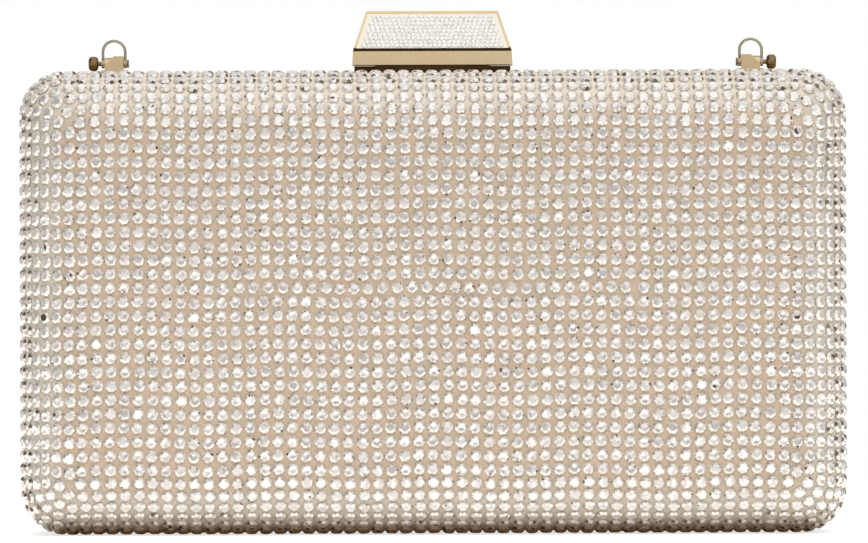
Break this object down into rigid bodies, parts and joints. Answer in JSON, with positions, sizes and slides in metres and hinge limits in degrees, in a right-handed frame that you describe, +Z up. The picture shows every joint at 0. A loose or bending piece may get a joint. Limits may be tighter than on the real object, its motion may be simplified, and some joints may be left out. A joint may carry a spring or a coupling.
{
  "type": "minaudiere",
  "caption": "Hard box clutch with a crystal covered shell in two hinged halves, a faceted tilting clasp on top and a small upright ring at each side for a chain.",
  "frame": {"origin": "middle of the bottom of the bounding box, under the mouth plane between the two halves", "axes": "+X to the right seen from the front, +Y to the back, +Z up"},
  "size_m": [0.176, 0.05, 0.1115],
  "materials": {
    "shell": "moulded",
    "crystal": "faceted stones on mesh",
    "frame_gold": "polished pale gold",
    "lining": "satin",
    "hinge_gold": "polished pale gold",
    "steel": "plain",
    "spring_steel": "drawn wire",
    "latch_gold": "polished pale gold",
    "clasp_gold": "polished pale gold",
    "pave": "fine stones",
    "fitting_gold": "polished pale gold"
  },
  "bodies": {
    "rear_half": {"rear_shell": "shell", "rear_crystal_cover": "crystal", "rear_frame": "frame_gold", "rear_lining": "lining", "left_rear_hinge_leaf": "hinge_gold", "right_rear_hinge_leaf": "hinge_gold", "left_hinge_pin": "steel", "right_hinge_pin": "steel", "rear_hinge_rivets": "steel", "clasp_bracket": "latch_gold", "bracket_screws": "steel", "clasp_spring": "spring_steel", "left_chain_lug": "fitting_gold", "right_chain_lug": "fitting_gold", "left_lug_pin": "fitting_gold", "right_lug_pin": "fitting_gold"},
    "front_half": {"front_shell": "shell", "front_crystal_cover": "crystal", "front_frame": "frame_gold", "front_lining": "lining", "left_front_hinge_leaf": "hinge_gold", "right_front_hinge_leaf": "hinge_gold", "front_hinge_rivets": "steel", "catch_plate": "latch_gold", "catch_screws": "steel"},
    "clasp": {"clasp_body": "clasp_gold", "clasp_plate": "pave", "latch_hook": "latch_gold", "hook_screws": "steel", "clasp_pin": "steel"},
    "left_ring": {"left_chain_ring": "fitting_gold"},
    "right_ring": {"right_chain_ring": "fitting_gold"}
  },
  "joints": [
    {"name": "shell_hinge", "type": "hinge", "parent": "rear_half", "child": "front_half", "pos_m": [0, 0, 0.0015], "axis": [1, 0, 0], "range_deg": [0, 90]},
    {"name": "clasp_tilt", "type": "hinge", "parent": "rear_half", "child": "clasp", "pos_m": [0, 0.004, 0.1013], "axis": [-1, 0, 0], "range_deg": [0, 15], "stiffness_Nm_per_rad": 0.03, "springref_deg": -17.19, "deforming": ["clasp_spring"]},
    {"name": "left_ring_swing", "type": "hinge", "parent": "rear_half", "child": "left_ring", "pos_m": [-0.06815, 0.0017, 0.1005], "axis": [1, 0, 0], "range_deg": [-90, 90]},
    {"name": "right_ring_swing", "type": "hinge", "parent": "rear_half", "child": "right_ring", "pos_m": [0.06815, 0.0017, 0.1005], "axis": [1, 0, 0], "range_deg": [-90, 90]}
  ]
}
